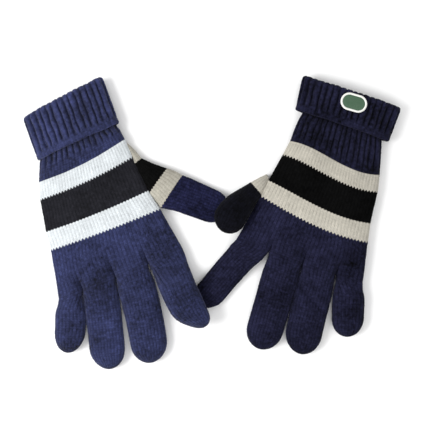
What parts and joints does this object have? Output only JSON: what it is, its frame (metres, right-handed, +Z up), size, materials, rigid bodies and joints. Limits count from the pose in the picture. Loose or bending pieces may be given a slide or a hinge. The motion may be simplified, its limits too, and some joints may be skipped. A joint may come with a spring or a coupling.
{
  "type": "pair of knitted gloves",
  "caption": "Pair of knitted gloves lying flat, with ribbed turned-up cuffs, contrasting stripes over the hand, and fingers, thumbs and cuffs as separate pieces.",
  "frame": {"origin": "centre of the pair's footprint, on the surface they lie on", "axes": "+Z up from the surface, -Y towards the fingertips, +X from the right-hand glove to the left-hand glove"},
  "size_m": [0.3212, 0.2522, 0.0209],
  "materials": {
    "rh_rib_knit": "ribbed navy knit",
    "rh_navy_knit": "plain navy knit",
    "rh_finger_knit": "plain navy knit",
    "rh_white_knit": "off-white knit",
    "rh_black_knit": "black knit",
    "lh_rib_knit": "ribbed navy knit",
    "lh_navy_knit": "plain navy knit",
    "lh_finger_knit": "plain navy knit",
    "lh_white_knit": "off-white knit",
    "lh_black_knit": "black knit",
    "patch_green": "satin stitch",
    "patch_white": "overlocked edge"
  },
  "bodies": {
    "rh_hand": {"rh_palm": "rh_navy_knit", "rh_stripe_white_lower": "rh_white_knit", "rh_stripe_black": "rh_black_knit", "rh_stripe_white_upper": "rh_white_knit", "rh_gusset_white_upper": "rh_white_knit", "rh_gusset_black": "rh_black_knit", "rh_gusset_white_lower": "rh_white_knit"},
    "rh_cuff": {"rh_wrist_rib": "rh_rib_knit"},
    "rh_turn_up": {"rh_cuff_turn_up": "rh_rib_knit", "rh_cuff_hem": "rh_rib_knit"},
    "rh_index": {"rh_finger_index": "rh_finger_knit"},
    "rh_middle": {"rh_finger_middle": "rh_finger_knit"},
    "rh_ring": {"rh_finger_ring": "rh_finger_knit"},
    "rh_little": {"rh_finger_little": "rh_finger_knit"},
    "rh_thumb_tube": {"rh_thumb": "rh_finger_knit"},
    "lh_hand": {"lh_palm": "lh_navy_knit", "lh_stripe_white_lower": "lh_white_knit", "lh_stripe_black": "lh_black_knit", "lh_stripe_white_upper": "lh_white_knit", "lh_gusset_white_lower": "lh_white_knit"},
    "lh_cuff": {"lh_wrist_rib": "lh_rib_knit"},
    "lh_turn_up": {"lh_cuff_turn_up": "lh_rib_knit", "lh_cuff_hem": "lh_rib_knit", "lh_patch_field": "patch_green", "lh_patch_border": "patch_white"},
    "lh_index": {"lh_finger_index": "lh_finger_knit"},
    "lh_middle": {"lh_finger_middle": "lh_finger_knit"},
    "lh_ring": {"lh_finger_ring": "lh_finger_knit"},
    "lh_little": {"lh_finger_little": "lh_finger_knit"},
    "lh_thumb_tube": {"lh_thumb": "lh_finger_knit"}
  },
  "joints": [
    {"name": "rh_little_fold", "type": "hinge", "parent": "rh_hand", "child": "rh_little", "pos_m": [-0.12003, -0.06158, 0.0135], "axis": [-0.9969, -0.0785, 0], "range_deg": [0, 75]},
    {"name": "rh_ring_fold", "type": "hinge", "parent": "rh_hand", "child": "rh_ring", "pos_m": [-0.09601, -0.05163, 0.0135], "axis": [-0.9936, -0.1132, 0], "range_deg": [0, 75]},
    {"name": "rh_middle_fold", "type": "hinge", "parent": "rh_hand", "child": "rh_middle", "pos_m": [-0.06829, -0.04015, 0.0135], "axis": [-0.9763, -0.2164, 0], "range_deg": [0, 75]},
    {"name": "rh_index_fold", "type": "hinge", "parent": "rh_hand", "child": "rh_index", "pos_m": [-0.03965, -0.02829, 0.0135], "axis": [-0.9239, -0.3827, 0], "range_deg": [0, 75]},
    {"name": "rh_wrist_fold", "type": "hinge", "parent": "rh_hand", "child": "rh_cuff", "pos_m": [-0.10806, 0.0462, 0.0135], "axis": [0.9239, 0.3827, 0], "range_deg": [0, 60]},
    {"name": "rh_turn_up_slide", "type": "slide", "parent": "rh_cuff", "child": "rh_turn_up", "axis": [-0.3827, 0.9239, 0], "range_m": [0, 0.02]},
    {"name": "lh_little_fold", "type": "hinge", "parent": "lh_hand", "child": "lh_little", "pos_m": [0.11752, -0.04837, 0.0135], "axis": [-0.9877, 0.1564, 0], "range_deg": [0, 75]},
    {"name": "lh_ring_fold", "type": "hinge", "parent": "lh_hand", "child": "lh_ring", "pos_m": [0.09199, -0.03958, 0.0135], "axis": [-0.9455, 0.3256, 0], "range_deg": [0, 75]},
    {"name": "lh_middle_fold", "type": "hinge", "parent": "lh_hand", "child": "lh_middle", "pos_m": [0.06363, -0.02982, 0.0135], "axis": [-0.9455, 0.3256, 0], "range_deg": [0, 75]},
    {"name": "lh_wrist_fold", "type": "hinge", "parent": "lh_hand", "child": "lh_cuff", "pos_m": [0.10581, 0.05613, 0.0135], "axis": [0.9455, -0.3256, 0], "range_deg": [0, 60]},
    {"name": "lh_turn_up_slide", "type": "slide", "parent": "lh_cuff", "child": "lh_turn_up", "axis": [0.3256, 0.9455, 0], "range_m": [0, 0.02]},
    {"name": "rh_thumb_swing", "type": "hinge", "parent": "rh_hand", "child": "rh_thumb_tube", "pos_m": [-0.04183, 0.01371, 0.005], "axis": [0, 0, -1], "range_deg": [0, 20]},
    {"name": "lh_thumb_swing", "type": "hinge", "parent": "lh_hand", "child": "lh_thumb_tube", "pos_m": [0.03309, 0.03263, 0.005], "axis": [0, 0, -1], "range_deg": [0, 12]},
    {"name": "lh_index_swing", "type": "hinge", "parent": "lh_hand", "child": "lh_index", "pos_m": [0.04932, -0.02468, 0.006], "axis": [0, 0, 1], "range_deg": [0, 15]},
    {"name": "gloves_apart", "type": "slide", "parent": "rh_hand", "child": "lh_hand", "axis": [1, 0, 0], "range_m": [0, 0.03]}
  ]
}
